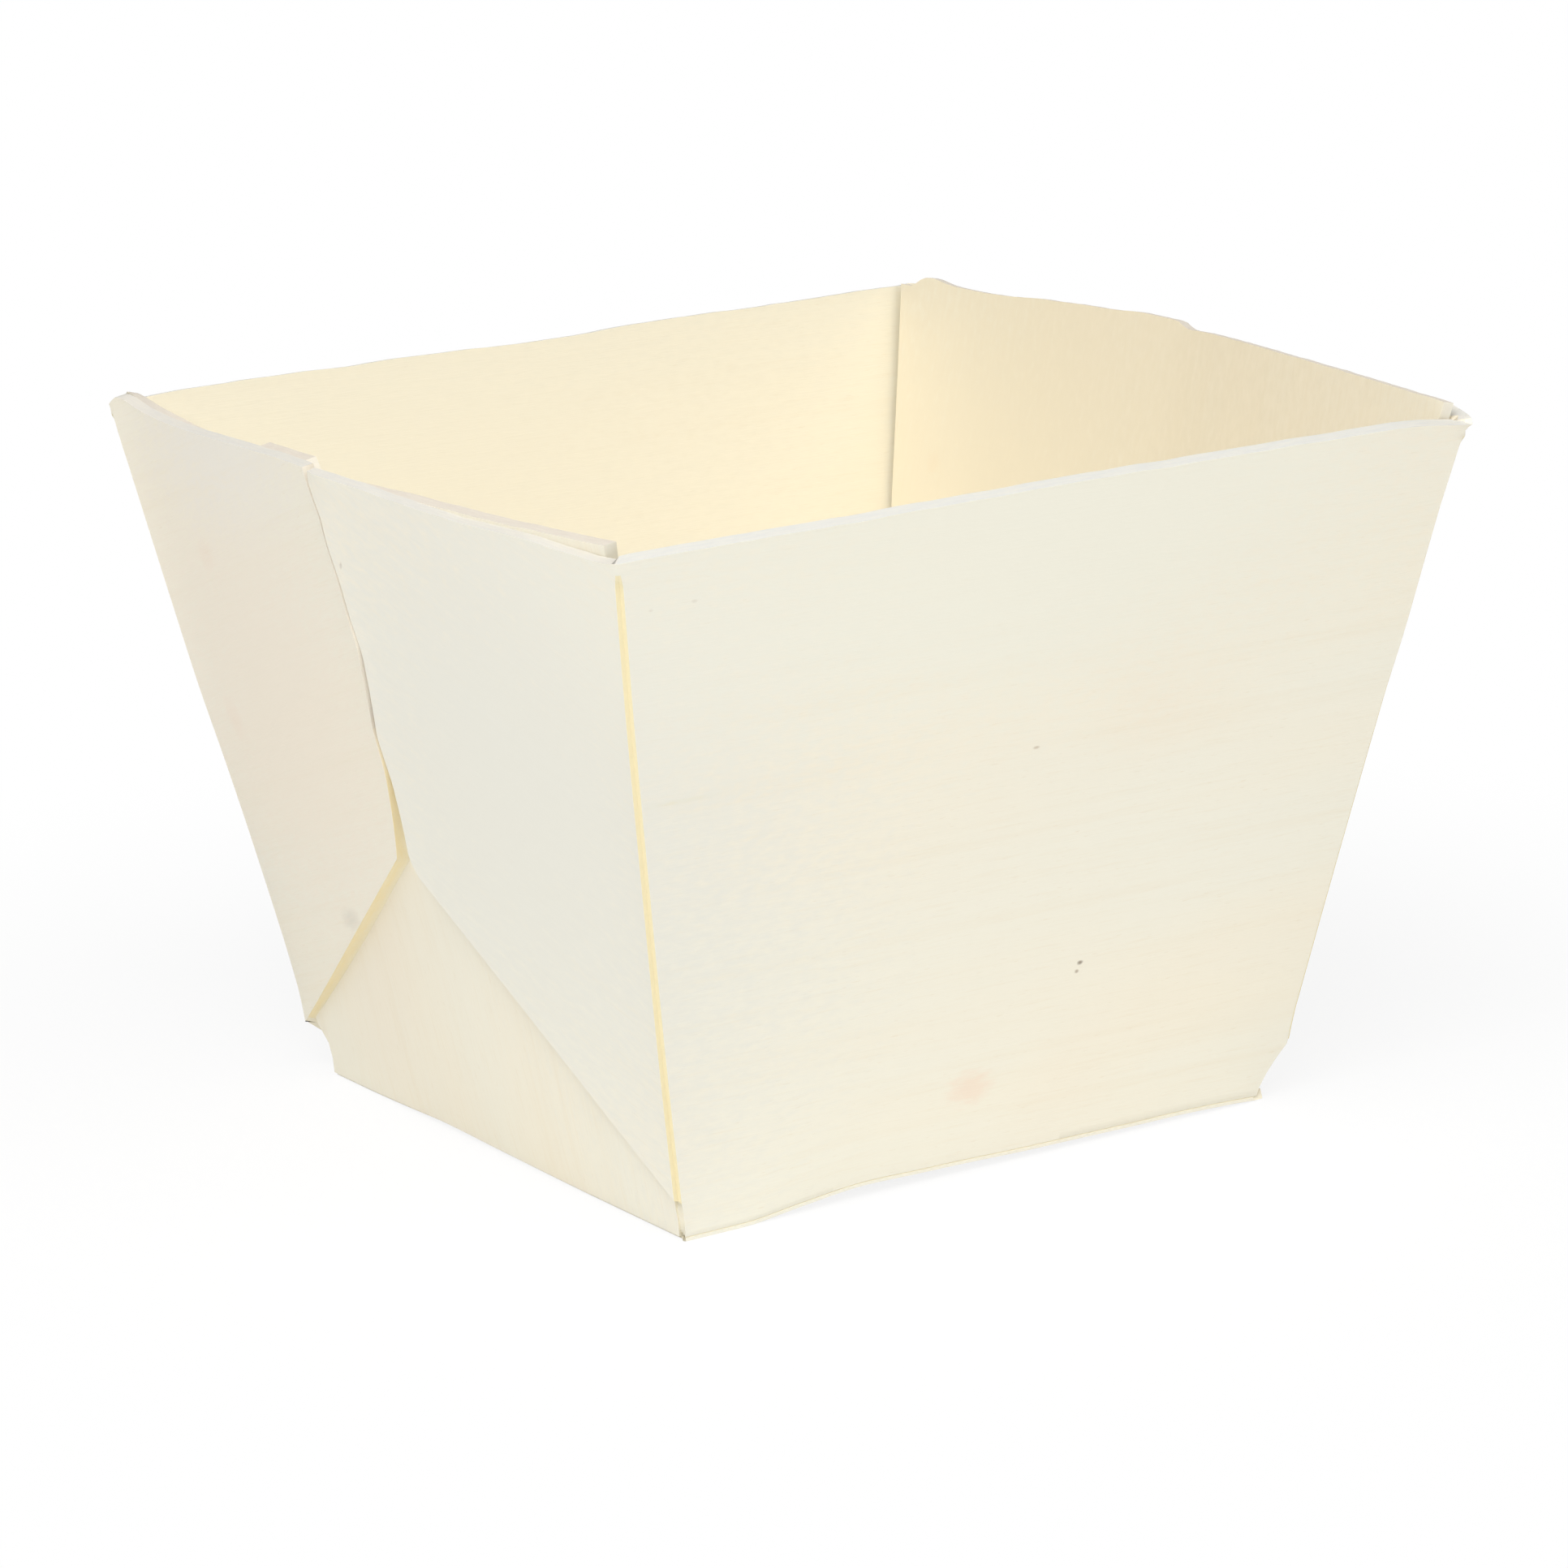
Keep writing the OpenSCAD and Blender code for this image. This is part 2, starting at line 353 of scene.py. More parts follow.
class Fold:
    """Section of a fold between two panels with these outward normals, scored to a depth.

    It has the direction out of the fold, how far the score cuts back each panel and how deep its root lies
    below the fold line, and the way from that line to the crease inside.
    """

    def __init__(self, normal_a, normal_b, depth):
        self.out = (normal_a + normal_b).normalized()
        half = self.out.angle(normal_a)
        self.cut = depth * tan(half)
        self.root = depth / cos(half)
        self.crease = -SHEET_T * (normal_a + normal_b) / (1 + normal_a.dot(normal_b))


LONG_FOLD = Fold(DOWN, WALL_OUT, PRESSED_SCORE_D)
END_FOLD = Fold(DOWN, END_OUT, PRESSED_SCORE_D)
CORNER_FOLD = Fold(WALL_OUT, FLAP_OUT, PINCHED_SCORE_D)


# Places in the flat blank, before the sheet is folded. The grain runs along its x.

def blank_of_wall(sy, x, z):
    return x, sy * (BASE_W / 2 + z / cos(SIDE_LEAN))


def blank_of_flap(sx, sy, y, z):
    arm = flap_at(sy * y, z) - fold_at(0)
    foot = Vector((FOOT_L / 2, BASE_W / 2))
    up = (Vector((RIM_L / 2, BASE_W / 2 + WALL_H / cos(SIDE_LEAN))) - foot).normalized()
    across = Vector((up.y, -up.x))
    flat = foot + up * arm.dot(FOLD_UP) + across * arm.dot(FLAP_ACROSS)
    return sx * flat.x, sy * flat.y


def blank_of_panel(sx, y, z):
    return sx * (BASE_L / 2 + z / cos(END_LEAN)), y


# Looks of the cut edges. They turn to the rim's grey between two heights along the seam.
SEAM_FADE = (35.0, 43.0)
# Above that, upright edges are paler. An edge is upright if it rises by this share of its length.
UPRIGHT = 0.7
UPRIGHT_CUT = 0.6
# Palest are the sides of the end panels at the rim, from this height and this far from the middle, and the
# edges at the foot
RIM_FROM = 62.6
SIDE_FROM = 38.0
FOOT_TO = 5.0
PALE_CUT = 0.25
# Stands for the length of an edge that has none in the blank
SHORTEST = 1e-6


class Face(NamedTuple):
    """A face of the sheet, with the shares of its looks."""
    corners: tuple
    cut: float = 0.0
    rim: float = 0.0
    end_grain: float = 0.0
    scored: float = 0.0


LOOKS = ("cut", "rim", "end_grain", "scored")


class Sheet:
    """Outer skin of the sheet. Each of its points has a partner on the inner skin."""

    def __init__(self):
        self.places = []
        self.blank = []
        self.partner = {}
        self.skin = []

    def _add(self, place, blank, depth):
        self.places.append(place)
        self.blank.append((blank[0], blank[1], depth))
        return len(self.places) - 1

    def lining(self, place, blank):
        return self._add(place, blank, SHEET_T)

    def point(self, place, blank, inside):
        """inside is the place of the point's partner, or the number of a partner that is shared."""
        index = self._add(place, blank, 0.0)
        self.partner[index] = inside if isinstance(inside, int) else self.lining(inside, blank)
        return index

    def face(self, *corners, scored=0.0):
        self.skin.append(Face(corners, scored=scored))

    def weave(self, *rows, scored=0.0):
        """Faces between neighbouring rows of points."""
        for low, high in zip(rows, rows[1:]):
            for i in range(len(low) - 1):
                self.face(low[i], low[i + 1], high[i + 1], high[i], scored=scored)

    def closed(self):
        """All faces of the sheet: both skins and the cut edges."""
        faces = list(self.skin)
        uses = {}
        for corners in (face.corners for face in self.skin):
            inner = tuple(dict.fromkeys(self.partner[v] for v in corners))
            if len(inner) > 2:
                faces.append(Face(inner))
            for a, b in zip(corners, corners[1:] + corners[:1]):
                uses.setdefault(frozenset((a, b)), []).append((a, b))
        for (a, b), *others in uses.values():
            if not others:
                edge = tuple(dict.fromkeys((b, a, self.partner[a], self.partner[b])))
                faces.append(Face(edge, *self.cut_look(a, b)))
        return faces

    def cut_look(self, a, b):
        """Shares of a cut edge's looks: of the cut itself, of a worn rim, and of grain that is cut across."""
        way = self.places[b] - self.places[a]
        low = min(self.places[a].z, self.places[b].z)
        flat = Vector(self.blank[b][:2]) - Vector(self.blank[a][:2])
        upright = low > SEAM_FADE[1] and abs(way.z) > UPRIGHT * way.length
        if low < FOOT_TO or upright and low > RIM_FROM and abs(self.places[a].y) > SIDE_FROM:
            cut = PALE_CUT
        else:
            cut = UPRIGHT_CUT if upright else 1.0
        return cut, smooth(*SEAM_FADE, low), abs(flat.y) / max(flat.length, SHORTEST)


def rim_grit(seed, x):
    """Fibres and small nicks along a sawn rim."""
    (fibre_h, fibre_rate), (nick_h, nick_rate) = RIM_FIBRES, RIM_NICKS
    return fibre_h * noise((x * fibre_rate, seed, 0.0)) + nick_h * noise((x * nick_rate, seed, NICK_SEED))


def panel_rim(sx, y):
    """Height of an end panel's rim above its nominal one."""
    tab = RIM_TAB_H * plateau(y, *RIM_TAB) if sx < 0 else 0.0
    return along_curve(PANEL_RIM[sx], y) + tab + rim_grit(PANEL_GRIT[sx], y)


def near_rim(z, reach, rim=WALL_H):
    return smooth(rim - reach, rim, z)


def base_lift(x, y):
    """Springing of the base's edges, which leaves the tray standing on its corners."""
    front = along_curve(FRONT_ARCH, x) * (0.5 - y / BASE_W)
    back = along_curve(BACK_ARCH, x) * (0.5 + y / BASE_W)
    left = along_curve(LEFT_ARCH, y) * (0.5 - x / BASE_L)
    right = along_curve(RIGHT_ARCH, y) * (0.5 + x / BASE_L)
    return max(front + back + left + right, 0.0)


def settled(p):
    """Place of a point after the sheet has sprung and warped a little."""
    fade = max(0.0, 1 - p.z / LIFT_TO) ** 2
    x = min(max(p.x, -BASE_L / 2), BASE_L / 2)
    y = min(max(p.y, -BASE_W / 2), BASE_W / 2)
    lift = Vector((0, 0, base_lift(x, y) * fade))
    return p + lift + WARP * noise_vector(p * WARP_RATE) * min(p.z / WARP_FULL, 1.0)


def row_height(sx, sy, z):
    """Height of a wall's row at a corner, with its own relief at the foot and its own lift at the rim."""
    relief = RELIEF[sx, sy]
    if z < RELIEF_H:
        return z * relief / RELIEF_H
    return relief + (WALL_H + CORNER_LIFT[sx, sy] - relief) * (z - RELIEF_H) / (WALL_H - RELIEF_H)


def corner_fold_row(sx, sy, z):
    """Point of a corner fold at a row, turned to +X and +Y."""
    place = fold_at(row_height(sx, sy, z))
    place.x += CORNER_FLARE[sx, sy] * near_rim(z, FLARE_REACH)
    place.x += along_curve(CORNER_BOW[sx, sy], z)
    return place


def score_section(z):
    """Cut-back of a corner fold's score, and the depth of its root."""
    share = 1 - smooth(SCORE_FULL, SCORE_GONE, z)
    cut = BEND_CUT + (PINCHED_CUT - BEND_CUT) * share
    root = BEND_DEPTH + (CORNER_FOLD.root - BEND_DEPTH) * share
    return cut, root


def wall_half(sx, sy, z):
    """Half length of a long wall at a row, up to the chamfer or to the cut of the corner score."""
    fold_z = max(z, RELIEF_H)
    top = corner_fold_row(sx, sy, fold_z).x - score_section(fold_z)[0] / cos(END_LEAN)
    if z >= RELIEF_H:
        return top
    share = (z - LONG_RISE) / (RELIEF_H - LONG_RISE)
    return FOOT_HALF[sx, sy] + (top - FOOT_HALF[sx, sy]) * share ** CHAMFER_HOLLOW


def wall_row(sy, z):
    """One row of a long wall: each point's place, its place in the blank and the one inside."""
    row = []
    for u in evenly(-1, 1, WALL_STEPS):
        share = (u + 1) / 2
        x = u * wall_half(1 if u > 0 else -1, sy, z)
        height = row_height(-1, sy, z) * (1 - share) + row_height(1, sy, z) * share
        if abs(u) < 1:
            wave = along_curve(WALL_RIM[sy], x) + rim_grit(WALL_GRIT[sy], x)
            height += wave * near_rim(z, WALL_RIM_REACH)
        place = Vector((x, sy * fold_at(height).y, height))
        inside = place - SHEET_T * mirrored(WALL_OUT, 1, sy)
        inside.z += WALL_SLANT[sy] * near_rim(z, WALL_SLANT_REACH)
        row.append((place, blank_of_wall(sy, x, height), inside))
    return row


def long_fold(sheet, base_row, sy):
    """Score between the base and a long wall. Returns the rows at the base's edge and the wall's foot."""
    edge, lip, root, wall = [], [], [], []
    for u in evenly(-1, 1, WALL_STEPS):
        sx = 1 if u > 0 else -1
        corner = Vector((u * LIP_HALF[sx, sy], sy * BASE_W / 2, 0))
        crease = corner + mirrored(LONG_FOLD.crease, 1, sy)
        crease.x = u * CREASE_HALF[sx, sy]
        inside = sheet.lining(crease, corner.xy)
        for row, (out, height) in zip((edge, lip, root), (*LONG_LIP, LONG_ROOT)):
            row.append(sheet.point(corner + Vector((0, sy * out, height)), corner.xy, inside))
        foot = Vector((u * FOOT_HALF[sx, sy], sy * fold_at(LONG_RISE).y, LONG_RISE))
        wall.append(sheet.point(foot, blank_of_wall(sy, foot.x, LONG_RISE), inside))
    sheet.weave(base_row, edge, lip)
    sheet.weave(lip, root, wall, scored=PRESSED_LOOK)
    return edge, wall


def long_wall(sheet, foot_row, sy):
    """Long wall above its fold. Returns the points of its two side edges, with their partners inside."""
    rows = [foot_row]
    sides = {-1: [], 1: []}
    for z in CHAMFER_ROWS:
        rows.append([sheet.point(*p) for p in wall_row(sy, z)])
    for z in FOLD_ROWS:
        made = wall_row(sy, z)
        row = [None] + [sheet.point(*p) for p in made[1:-1]] + [None]
        for sx, end in OUTERMOST.items():
            corner = corner_fold_row(sx, sy, z)
            place, flat, _ = made[end]
            crease = mirrored(corner + CORNER_FOLD.crease, sx, sy)
            inside = sheet.lining(crease, blank_of_wall(sy, sx * corner.x, corner.z))
            row[end] = sheet.point(place, flat, inside)
            sides[sx].append((row[end], inside))
        rows.append(row)
    sheet.weave(*rows)
    return sides


def flap_shares(length, cut, strip):
    """Shares of the way from a corner fold's score to the seam, closer together near both."""
    crowded = [max((k / FLAP_STEPS) ** FLAP_CROWDING, cut / length) for k in range(FLAP_STEPS)]
    return [w for w in crowded if w < 1 - STRIP_CLEAR * strip / length] + [1 - strip / length, 1.0]


def flap_row(sx, sy, z):
    """One row of a flap: each point's place, its place in the blank and the one inside.

    The lowest row is the flap's diagonal edge, and the last point of each row lies on the seam.
    """
    corner = corner_fold_row(sx, sy, z)
    share = (z - RELIEF_H) / (WALL_H - RELIEF_H)
    foot_z = SEAM_FOOT + SEAM_LIFT[sx, sy]
    seam_y = sy * along_path(SEAM_EDGE[sx, sy], share)
    seam_z = foot_z + (WALL_H + FLAP_RISE - foot_z) * share
    length = (flap_at(seam_y, seam_z) - corner).length
    row = []
    for w in flap_shares(length, score_section(z)[0], SEAM_STRIP[sx, sy]):
        y = corner.y + (seam_y - corner.y) * w
        rim = along_curve(FLAP_RIM[sx, sy], w) + rim_grit(FLAP_GRIT[sx, sy], y)
        height = corner.z + (seam_z - corner.z) * w + rim * near_rim(z, WALL_RIM_REACH)
        place = flap_at(y, height)
        place.x += (corner.x - fold_at(corner.z).x) * (1 - w) ** BOW_FADE
        inside = mirrored(place - SHEET_T * FLAP_OUT, sx, sy)
        inside.z -= FLAP_SLANT[sx, sy] * near_rim(z, FLAP_SLANT_REACH) * plateau(w, *FLAP_SLANT_SPAN)
        if z == RELIEF_H:
            inside -= DIAGONAL_REACH[sx, sy] * min(DIAGONAL_GROWTH * w, 1.0) * mirrored(FLAP_OUT, sx, sy)
            inside.z -= DIAGONAL_SLANT[sx, sy]
        if w == 1:
            place -= along_path(SEAM_SUNK[sx, sy], share) * FLAP_OUT
        row.append((mirrored(place, sx, sy), blank_of_flap(sx, sy, sy * y, height), inside))
    return row


def flap(sheet, side, sx, sy):
    """Flap beyond a corner fold and the fold's score, along the side edge of a long wall."""
    roots, rows = [], []
    for z, (_, crease) in zip(FOLD_ROWS, side):
        corner = corner_fold_row(sx, sy, z)
        root = mirrored(corner - CORNER_FOLD.out * score_section(z)[1], sx, sy)
        roots.append(sheet.point(root, blank_of_wall(sy, sx * corner.x, corner.z), crease))
        (place, flat, _), *others = flap_row(sx, sy, z)
        rows.append([sheet.point(place, flat, crease)] + [sheet.point(*p) for p in others])
    for k in range(len(rows) - 1):
        scored = float(FOLD_ROWS[k + 1] <= SCORE_GONE)
        sheet.face(side[k][0], side[k + 1][0], roots[k + 1], roots[k], scored=scored)
        sheet.face(roots[k], roots[k + 1], rows[k + 1][0], rows[k][0], scored=scored)
    sheet.weave(*rows)


def bowed_panel(sx, u, v):
    """Outer face of an end panel as it is on the photograph, turned to +X."""
    place = panel_at(u, v)
    side = sx, 1 if u > 0 else -1
    swell = FOOT_SWELL[sx] * (1 - smooth(0.0, SWELL_TO, v))
    curl = EDGE_CURL[side] * v * v * smooth(CURL_FROM, 1.0, abs(u))
    place.x += PANEL_BULGE[sx] * sin(pi * v) * (1 - u * u) + swell
    place.x += CLOSED_LAP * smooth(*CLOSED_SPAN, v) - curl
    place.y -= u * (EDGE_INSET[side] * v * v + along_path(FOOT_INSET[side], place.z))
    return place


def panel_normal(sx, u, v):
    across = bowed_panel(sx, u + NORMAL_STEP, v) - bowed_panel(sx, u - NORMAL_STEP, v)
    up = bowed_panel(sx, u, v + NORMAL_STEP) - bowed_panel(sx, u, v - NORMAL_STEP)
    return across.cross(up).normalized()


def end_fold(sheet, base_column, sx):
    """Score between the base and an end panel. Returns the rows at the base's edge and the panel's foot."""
    edge, root, panel = [], [], []
    rise = END_FOLD.cut * cos(END_LEAN)
    inward = Vector((-sx * END_FOLD.cut, 0, 0))
    for u in evenly(-1, 1, PANEL_STEPS):
        corner = mirrored(bowed_panel(sx, u, 0), sx, 1)
        crease = bowed_panel(sx, u, SHEET_T / PANEL_TOP) - Vector((FLAP_X, 0, 0))
        inside = sheet.lining(mirrored(crease, sx, 1), corner.xy)
        edge.append(sheet.point(corner + inward, (corner + inward).xy, inside))
        root.append(sheet.point(corner - mirrored(END_FOLD.out, sx, 1) * END_FOLD.root, corner.xy, inside))
        foot = mirrored(bowed_panel(sx, u, rise / PANEL_TOP), sx, 1)
        panel.append(sheet.point(foot, blank_of_panel(sx, foot.y, rise), inside))
    sheet.weave(base_column, edge)
    sheet.weave(edge, root, panel, scored=PRESSED_LOOK)
    return edge, panel


def end_panel(sheet, foot_row, sx):
    """Bowed end panel above its fold."""
    rows = [foot_row]
    for z in PANEL_ROWS:
        row = []
        for u in evenly(-1, 1, PANEL_STEPS):
            y = bowed_panel(sx, u, z / PANEL_TOP).y
            v = (z + panel_rim(sx, y) * near_rim(z, PANEL_RIM_REACH, PANEL_TOP)) / PANEL_TOP
            place = bowed_panel(sx, u, v)
            inside = mirrored(place - SHEET_T * panel_normal(sx, u, v), sx, 1)
            if abs(u) == 1:
                inside.y += u * EDGE_SLANT[sx, u] * v * v
            inside.z += along_curve(PANEL_SLANT[sx], y) * near_rim(z, PANEL_SLANT_REACH, PANEL_TOP)
            row.append(sheet.point(mirrored(place, sx, 1), blank_of_panel(sx, place.y, place.z), inside))
        rows.append(row)
    sheet.weave(*rows)


def base_grid(sheet):
    """Base inside the folds, as columns along X of points along Y."""
    up = Vector((0, 0, SHEET_T))
    grid = []
    for u in evenly(-1, 1, WALL_STEPS):
        column = []
        for w in evenly(-1, 1, PANEL_STEPS):
            place = Vector((u * BASE_HALF, w * panel_half(0), 0))
            inside = Vector((u * BASE_LINING_HALF, place.y, 0)) + up
            column.append(sheet.point(place, (place.x, place.y), inside))
        grid.append(column)
    sheet.weave(*grid)
    return grid


def base_corners(sheet, grid, end_edges, long_edges):
    """Tips of the base between its end folds and its long folds."""
    for sx, x_end in OUTERMOST.items():
        for sy, y_end in OUTERMOST.items():
            tip = mirrored(Vector((*BASE_TIP[sx, sy], 0.0)), sx, sy)
            corner = sheet.point(tip, tip.xy, tip + mirrored(TIP_INWARD, sx, sy))
            sheet.face(grid[x_end][y_end], end_edges[sx][y_end], corner, long_edges[sy][x_end])


def folded_sheet():
    sheet = Sheet()
    grid = base_grid(sheet)
    end_edges, long_edges = {}, {}
    for sx, end in OUTERMOST.items():
        end_edges[sx], foot = end_fold(sheet, grid[end], sx)
        end_panel(sheet, foot, sx)
    for sy, end in OUTERMOST.items():
        long_edges[sy], foot = long_fold(sheet, [column[end] for column in grid], sy)
        for sx, side in long_wall(sheet, foot, sy).items():
            flap(sheet, side, sx, sy)
    base_corners(sheet, grid, end_edges, long_edges)
    return sheet


def turned_outward(mesh):
    """Turns a closed mesh's normals outward and smooths its faces. An open mesh is an error."""
    work = bmesh.new()
    work.from_mesh(mesh)
    bmesh.ops.recalc_face_normals(work, faces=work.faces)
    for f in work.faces:
        f.smooth = True
    open_edges = sum(len(e.link_faces) != 2 for e in work.edges)
    if open_edges:
        raise ValueError(f"the tray's mesh is open at {open_edges} edges")
    work.to_mesh(mesh)
    work.free()
    return mesh


def tray_mesh():
    sheet = folded_sheet()
    faces = sheet.closed()
    mesh = bpy.data.meshes.new("tray_veneer")
    mesh.from_pydata([settled(p) * MM for p in sheet.places], [], [f.corners for f in faces])
    for item, place in zip(mesh.attributes.new("blank", "FLOAT_VECTOR", "POINT").data, sheet.blank):
        item.vector = place
    for look in LOOKS:
        for item, face in zip(mesh.attributes.new(look, "FLOAT", "FACE").data, faces):
            item.value = getattr(face, look)
    return turned_outward(mesh)


def placed(name, data):
    """Object with this data in the scene."""
    made = bpy.data.objects.new(name, data)
    bpy.context.collection.objects.link(made)
    return made


WORN_WIDTH = 0.09
WORN_ANGLE = 40


def tray_piece(material):
    tray = placed("tray_veneer", tray_mesh())
    tray.data.materials.append(material)
    bevel = tray.modifiers.new("worn_edges", "BEVEL")
    bevel.width = WORN_WIDTH * MM
    bevel.segments = 2
    bevel.limit_method = "ANGLE"
    bevel.angle_limit = radians(WORN_ANGLE)
    bevel.harden_normals = True
    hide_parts("tray")
    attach(tray, "root")


class Tree:
    """Short way to write a node tree: sockets are given by name, as values or as other sockets."""

    def __init__(self, owner):
        owner.use_nodes = True
        self.tree = owner.node_tree
        self.tree.nodes.clear()

    def put(self, socket, value):
        if isinstance(value, bpy.types.NodeSocket):
            self.tree.links.new(value, socket)
        else:
            socket.default_value = value

    def node(self, kind, settings=None, **sockets):
        made = self.tree.nodes.new("ShaderNode" + kind)
        for name, value in (settings or {}).items():
            setattr(made, name, value)
        for name, value in sockets.items():
            self.put(made.inputs[name.replace("_", " ")], value)
        return made

    def filled(self, kind, settings, values):
        """Node whose inputs are given in their order."""
        made = self.node(kind, settings)
        for socket, value in zip(made.inputs, values):
            self.put(socket, value)
        return made

    def attribute(self, name, output="Fac"):
        return self.node("Attribute", {"attribute_name": name}).outputs[output]

    def math(self, operation, *values, clamp=False):
        return self.filled("Math", {"operation": operation, "use_clamp": clamp}, values).outputs[0]

    def vector(self, operation, *values):
        made = self.filled("VectorMath", {"operation": operation}, values)
        return made.outputs["Value" if operation == "LENGTH" else "Vector"]

    def ramp(self, value, low, high, to_low=0.0, to_high=1.0):
        made = self.node(
            "MapRange", {"interpolation_type": "SMOOTHSTEP"},
            Value=value, From_Min=low, From_Max=high, To_Min=to_low, To_Max=to_high,
        )
        return made.outputs["Result"]

    def mix(self, share, a, b, blend="MIX"):
        made = self.node("Mix", {"data_type": "RGBA", "blend_type": blend, "clamp_factor": True})
        self.put(made.inputs["Factor"], share)
        colours = [s for s in made.inputs if s.type == "RGBA"]
        self.put(colours[0], a)
        self.put(colours[1], b)
        return next(s for s in made.outputs if s.type == "RGBA")

    def mix_shader(self, share, a, b):
        return self.filled("MixShader", None, (share, a, b)).outputs[0]

    def noise(self, vector, stretch, detail=2.0, roughness=0.5):
        place = self.vector("MULTIPLY", vector, stretch)
        made = self.node("TexNoise", Vector=place, Scale=1.0, Detail=detail, Roughness=roughness)
        return made.outputs[0]


def srgb(red, green, blue):
    """Colour from 8-bit display values, as a linear RGBA."""
    def linear(value):
        c = value / 255
        return c / 12.92 if c <= 0.04045 else ((c + 0.055) / 1.055) ** 2.4
    return linear(red), linear(green), linear(blue), 1.0


CREAM = srgb(244, 236, 216)
PALE = srgb(241, 237, 221)
BLUSH = srgb(243, 229, 207)
LATEWOOD = srgb(234, 219, 190)
FLECK = srgb(226, 210, 180)
RIM_WOOD = srgb(219, 218, 212)
RIM_END_GRAIN = srgb(221, 211, 197)
# Fresh-cut wood, its yellow made deeper as painted warm shade of the seam, the diagonal edges and the cut
# edges in crevices
CUT_WOOD_AND_SHADE = srgb(243, 227, 182)
# Fresh wood in the scores, its yellow made deeper as painted warm shade inside the grooves
SCORE_WOOD_AND_SHADE = srgb(241, 228, 186)
SCORE_SHARE = 0.9
# Warmer inner face: partly the wood's own tone and partly painted warm bounce light inside the tray
INNER_TINT = (1.01, 1.0, 0.97, 1.0)
WHITE = (1, 1, 1, 1)

# Noise in the wood: stretch along the grain, across it and through the sheet, then detail and roughness
BROAD = ((0.010, 0.045, 0.02), 3.0)
TINT = ((0.017, 0.026, 0.3), 2.0)
BANDS = ((0.012, 0.55, 0.2), 3.0, 0.6)
FIBRES = ((0.16, 3.4, 1.0), 3.0, 0.62)
PORES = ((0.8, 6.0, 1.0), 1.0)
LAYERS = ((0.5, 0.5, 4.0), 3.0)
RAGGED = ((0.7, 1.6, 0.0), 3.0)
RAGGEDNESS = 0.9

# Ramps as from, to, and the shares there: of the inner face's tint and of a fresh cut by depth, and of the
# layers that show in a cut
INNER_RAMP = (0.5, SHEET_T, 0.0, 1.0)
CUT_RAMP = (0.25, SHEET_T, 1.0, 0.4)
LAYER_RAMP = (0.2, 0.8, 0.7, 1.0)
# Surface: roughness by the fibres, gloss, and the bump of the fibres and the pores
ROUGHNESS_RAMP = (0.2, 0.8, 0.58, 0.74)
GLOSS = 0.35
FIBRE_BUMP = 0.7
PORE_BUMP = -0.5
BUMP_STRENGTH = 0.22
BUMP_DEPTH = 0.08

# Marks on the sheet: place in the blank, side, half lengths along and across the grain, colour, share.
# The last six are broad tones of whole faces, set to each face's look: partly the wood's own tone and partly
# painted light and shade.
OUTSIDE, INSIDE = 0.0, SHEET_T
MARKS = (
    (blank_of_wall(-1, 7.95, 18.2), OUTSIDE, (0.45, 0.3), srgb(120, 100, 82), 0.75),
    (blank_of_wall(-1, 7.7, 17.4), OUTSIDE, (0.3, 0.25), srgb(150, 125, 100), 0.6),
    (blank_of_wall(-1, -2.9, 8.0), OUTSIDE, (3.4, 2.4), srgb(243, 216, 194), 0.5),
    (blank_of_wall(-1, -37.0, 59.15), OUTSIDE, (0.4, 0.22), srgb(176, 150, 120), 0.6),
    (blank_of_wall(-1, -41.26, 58.97), OUTSIDE, (0.3, 0.2), srgb(190, 160, 130), 0.5),
    (blank_of_wall(-1, 0.17, 39.9), OUTSIDE, (0.5, 0.2), srgb(180, 155, 125), 0.6),
    (blank_of_wall(-1, -37.0, 41.5), OUTSIDE, (5.5, 0.35), srgb(226, 214, 160), 0.35),
    (blank_of_flap(-1, -1, -1.3, 56.3), OUTSIDE, (0.25, 0.55), srgb(150, 125, 100), 0.6),
    (blank_of_flap(-1, 1, 14.2, 19.4), OUTSIDE, (3.0, 1.5), srgb(176, 174, 164), 0.34),
    (blank_of_flap(-1, 1, 28.0, 51.4), OUTSIDE, (2.6, 2.2), srgb(240, 208, 186), 0.35),
    (blank_of_flap(-1, 1, 30.4, 35.2), OUTSIDE, (2.2, 2.8), srgb(240, 206, 184), 0.4),
    (blank_of_panel(1, 31.9, 47.9), INSIDE, (1.7, 1.3), srgb(240, 200, 158), 0.42),
    # Painted shade: a darker tone inside the end panel at +X, where the lamps light it strongly
    (blank_of_panel(1, 25.0, 40.0), INSIDE, (80.0, 80.0), srgb(236, 226, 203), 0.85),
    (blank_of_wall(1, -20.0, 45.0), INSIDE, (90.0, 70.0), srgb(247, 241, 223), 0.9),
    (blank_of_flap(-1, 1, 20.0, 40.0), OUTSIDE, (36.0, 36.0), srgb(243, 232, 214), 0.8),
    (blank_of_flap(-1, 1, 18.0, 66.0), OUTSIDE, (26.0, 14.0), srgb(238, 234, 224), 0.7),
    (blank_of_flap(-1, -1, -20.0, 40.0), OUTSIDE, (50.0, 60.0), srgb(232, 230, 219), 0.85),
    (blank_of_wall(-1, 0.0, 60.0), OUTSIDE, (70.0, 26.0), srgb(240, 237, 221), 0.8),
)
# A mark is full up to this share of its reach, and fades through the sheet at this rate, so that it shows
# on one side only
MARK_CORE = 0.15
MARK_DEPTH_RATE = 3.0


